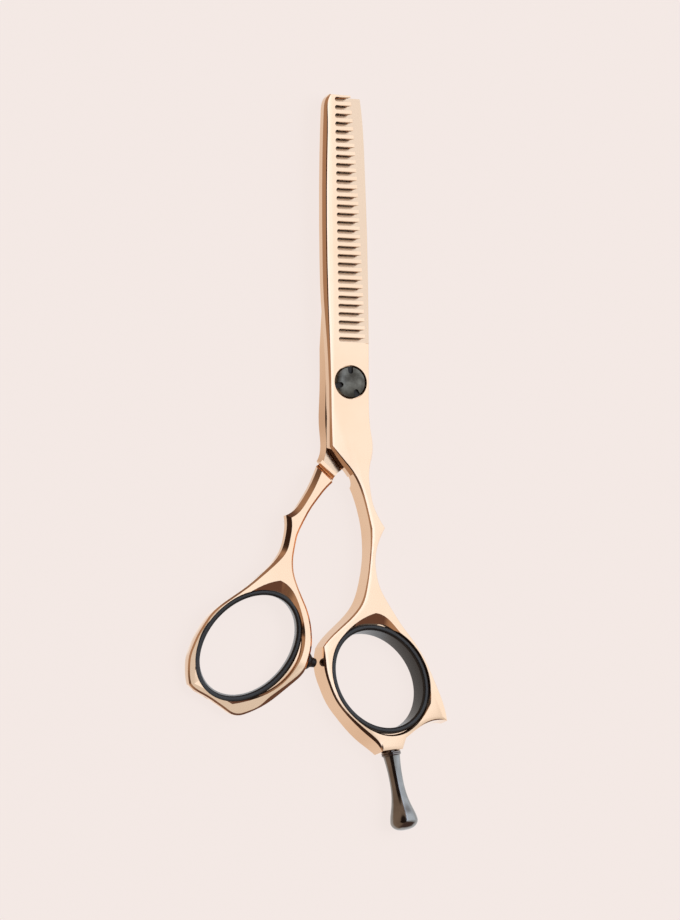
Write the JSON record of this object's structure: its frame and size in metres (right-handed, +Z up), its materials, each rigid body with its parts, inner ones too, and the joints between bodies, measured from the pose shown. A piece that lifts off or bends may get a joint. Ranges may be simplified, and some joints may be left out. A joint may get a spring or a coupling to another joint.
{
  "type": "thinning shears",
  "caption": "Closed thinning shears: a toothed blade over a straight blade on a tension screw, with offset oval finger loops and a screw-in finger rest.",
  "frame": {"origin": "on the pivot axis, in the plane that the shears lie on", "axes": "+Y towards the blade tips, +X towards the finger ring, +Z up out of the toothed half"},
  "size_m": [0.0624, 0.1693, 0.0065],
  "materials": {
    "rose_gold": "mirror polished, rose gold coated steel",
    "black_insert": "gloss moulded",
    "black_rubber": "satin",
    "black_metal": "polished black coating",
    "grey_metal": "dark satin",
    "screw_metal": "black chrome",
    "spring_steel": "ground",
    "white_polymer": "smooth",
    "bush_brass": "turned",
    "ball_steel": "polished",
    "cage_polymer": "smooth"
  },
  "bodies": {
    "finger_side": {"finger_half": "rose_gold", "finger_ring_insert": "black_insert", "glide_washer": "white_polymer"},
    "thumb_side": {"thumb_half": "rose_gold", "thumb_ring_insert": "black_insert", "bumper": "black_rubber", "pivot_bush": "bush_brass", "bearing_race": "spring_steel"},
    "tension_screw": {"pivot_screw": "screw_metal", "spring_washer": "spring_steel"},
    "bearing": {"bearing_cage": "cage_polymer", "bearing_balls": "ball_steel"},
    "finger_rest": {"finger_rest": "black_metal", "finger_rest_collar": "grey_metal"}
  },
  "joints": [
    {"name": "blade_pivot", "type": "hinge", "parent": "finger_side", "child": "thumb_side", "pos_m": [0, 0, 0.003], "axis": [0, 0, -1], "range_deg": [0, 135]},
    {"name": "bearing_turn", "type": "hinge", "parent": "finger_side", "child": "bearing", "pos_m": [0, 0, 0.0025], "axis": [0, 0, -1], "range_deg": [0, 67.5]},
    {"name": "tension_turn", "type": "hinge", "parent": "thumb_side", "child": "tension_screw", "pos_m": [0, 0, 0.003], "axis": [0, 0, 1], "range_deg": [-60, 60]},
    {"name": "finger_rest_withdraw", "type": "slide", "parent": "finger_side", "child": "finger_rest", "axis": [0.1994, -0.9799, 0], "range_m": [0, 0.006]}
  ],
  "couplings": [
    {"joint": "bearing_turn", "follows": "blade_pivot", "ratio": 0.5}
  ]
}
